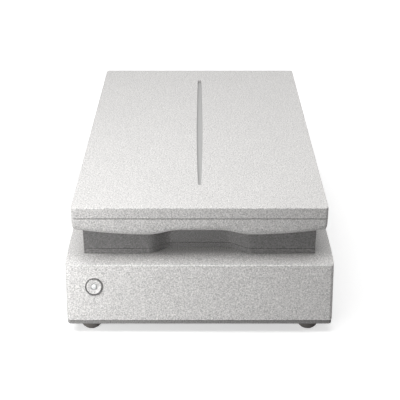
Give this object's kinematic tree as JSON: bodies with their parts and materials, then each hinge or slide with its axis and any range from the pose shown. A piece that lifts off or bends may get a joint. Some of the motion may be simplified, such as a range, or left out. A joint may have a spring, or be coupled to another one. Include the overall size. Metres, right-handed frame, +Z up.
{
  "type": "photo scanner",
  "caption": "Flatbed photo scanner: leaning-front case with a glass platen, moving optics, and a lifting hinged lid that holds a film lamp and a slide-out mat.",
  "frame": {"origin": "on the table, under the middle of the machine", "axes": "+Z up, -Y towards the user's side with the power key, +X to the user's right"},
  "size_m": [0.308, 0.503, 0.15],
  "materials": {
    "silver_plastic": "satin pale silver, lightly pearled",
    "grey_plastic": "fine moulded texture",
    "dark_plastic": "fine moulded texture",
    "black_plastic": "satin",
    "white_plastic": "matt white",
    "rubber": "matt",
    "steel": "ground bright",
    "zinc_plate": "zinc plated",
    "glass": "clear float glass",
    "mirror": "front-silvered glass",
    "circuit_board": "green solder mask",
    "nylon": "natural nylon",
    "belt": "toothed rubber belt",
    "ribbon": "flat film cable",
    "lamp_glass": "milky white",
    "inlay": "smooth grey strip"
  },
  "bodies": {
    "base": {"upper_case": "silver_plastic", "lower_case": "grey_plastic", "platen_glass": "glass", "calibration_strip": "white_plastic", "guide_shaft": "steel", "glide_rail": "nylon", "drive_belt": "belt", "scan_motor": "zinc_plate", "motor_bracket": "zinc_plate", "idler_bracket": "zinc_plate", "tension_spring": "steel", "main_board": "circuit_board", "button_board": "circuit_board", "button_spring": "steel", "button_ring": "dark_plastic", "usb_socket": "zinc_plate", "power_inlet": "black_plastic", "film_unit_socket": "black_plastic", "ribbon_cable": "ribbon", "foot_front_left": "rubber", "foot_front_right": "rubber", "foot_rear_left": "rubber", "foot_rear_right": "rubber"},
    "hinge_posts": {"hinge_post_left": "black_plastic", "hinge_post_right": "black_plastic", "hinge_pin_left": "steel", "hinge_pin_right": "steel"},
    "lid": {"lid_top_cover": "silver_plastic", "lid_inlay": "inlay", "lid_lower_cover": "silver_plastic", "film_lamp_housing": "dark_plastic", "film_window": "lamp_glass", "film_lamp_rod": "steel", "film_belt": "belt", "film_motor": "zinc_plate", "film_motor_plate": "zinc_plate", "film_idler_plate": "zinc_plate", "cable_gland": "rubber", "hinge_bracket_left": "zinc_plate", "hinge_bracket_right": "zinc_plate"},
    "document_mat": {"mat_plate": "dark_plastic", "mat_pad": "white_plastic"},
    "carriage": {"carriage_tray": "black_plastic", "carriage_cover": "black_plastic", "scan_lamp": "lamp_glass", "lamp_reflector": "zinc_plate", "rear_mirror": "mirror", "front_mirror": "mirror", "lens_barrel": "black_plastic", "sensor_board": "circuit_board"},
    "drive_gear": {"drive_gear": "nylon"},
    "motor_pinion": {"motor_pinion": "steel"},
    "idler_pulley": {"idler_pulley": "nylon"},
    "film_lamp_bar": {"film_lamp_carriage": "black_plastic", "film_lamp": "lamp_glass"},
    "film_drive_pulley": {"film_drive_pulley": "nylon"},
    "film_idler_pulley": {"film_idler_pulley": "nylon"},
    "power_button": {"power_button": "silver_plastic", "button_lens": "white_plastic"},
    "transport_lock": {"transport_lock": "black_plastic"}
  },
  "joints": [
    {"name": "lid_lift", "type": "slide", "parent": "base", "child": "hinge_posts", "axis": [0, 0, 1], "range_m": [0, 0.045]},
    {"name": "lid_hinge", "type": "hinge", "parent": "hinge_posts", "child": "lid", "pos_m": [0, 0.2365, 0.105], "axis": [-1, 0, 0], "range_deg": [0, 85]},
    {"name": "mat_slide", "type": "slide", "parent": "lid", "child": "document_mat", "axis": [0, -1, 0], "range_m": [0, 0.33]},
    {"name": "carriage_travel", "type": "slide", "parent": "base", "child": "carriage", "axis": [0, 1, 0], "range_m": [0, 0.318], "deforming": ["ribbon_cable"]},
    {"name": "drive_gear_turn", "type": "hinge", "parent": "base", "child": "drive_gear", "pos_m": [-0.0589, 0.2, 0.0227], "axis": [0, 0, 1], "range_deg": [-2175, 5]},
    {"name": "motor_pinion_turn", "type": "hinge", "parent": "base", "child": "motor_pinion", "pos_m": [-0.03673, 0.2128, 0.0188], "axis": [0, 0, 1], "range_deg": [-10, 7760]},
    {"name": "idler_pulley_turn", "type": "hinge", "parent": "base", "child": "idler_pulley", "pos_m": [-0.0589, -0.216, 0.0248], "axis": [0, 0, 1], "range_deg": [-2175, 5]},
    {"name": "film_lamp_travel", "type": "slide", "parent": "lid", "child": "film_lamp_bar", "axis": [0, -1, 0], "range_m": [0, 0.27]},
    {"name": "film_drive_turn", "type": "hinge", "parent": "lid", "child": "film_drive_pulley", "pos_m": [0.06, 0.194, 0.1202], "axis": [0, 0, 1], "range_deg": [-5, 2280]},
    {"name": "film_idler_turn", "type": "hinge", "parent": "lid", "child": "film_idler_pulley", "pos_m": [0.06, -0.164, 0.1202], "axis": [0, 0, 1], "range_deg": [-5, 2280]},
    {"name": "power_button_press", "type": "slide", "parent": "base", "child": "power_button", "axis": [0, 0.9588, -0.284], "range_m": [0, 0.0015], "stiffness_N_per_m": 600, "springref_m": -0.0005, "deforming": ["button_spring"]},
    {"name": "transport_lock_slide", "type": "slide", "parent": "base", "child": "transport_lock", "axis": [1, 0, 0], "range_m": [0, 0.008]}
  ],
  "couplings": [
    {"joint": "drive_gear_turn", "follows": "carriage_travel", "rad_per_m": -119.05},
    {"joint": "motor_pinion_turn", "follows": "carriage_travel", "rad_per_m": 425.17},
    {"joint": "idler_pulley_turn", "follows": "carriage_travel", "rad_per_m": -119.05},
    {"joint": "film_drive_turn", "follows": "film_lamp_travel", "rad_per_m": 147.06},
    {"joint": "film_idler_turn", "follows": "film_lamp_travel", "rad_per_m": 147.06}
  ]
}
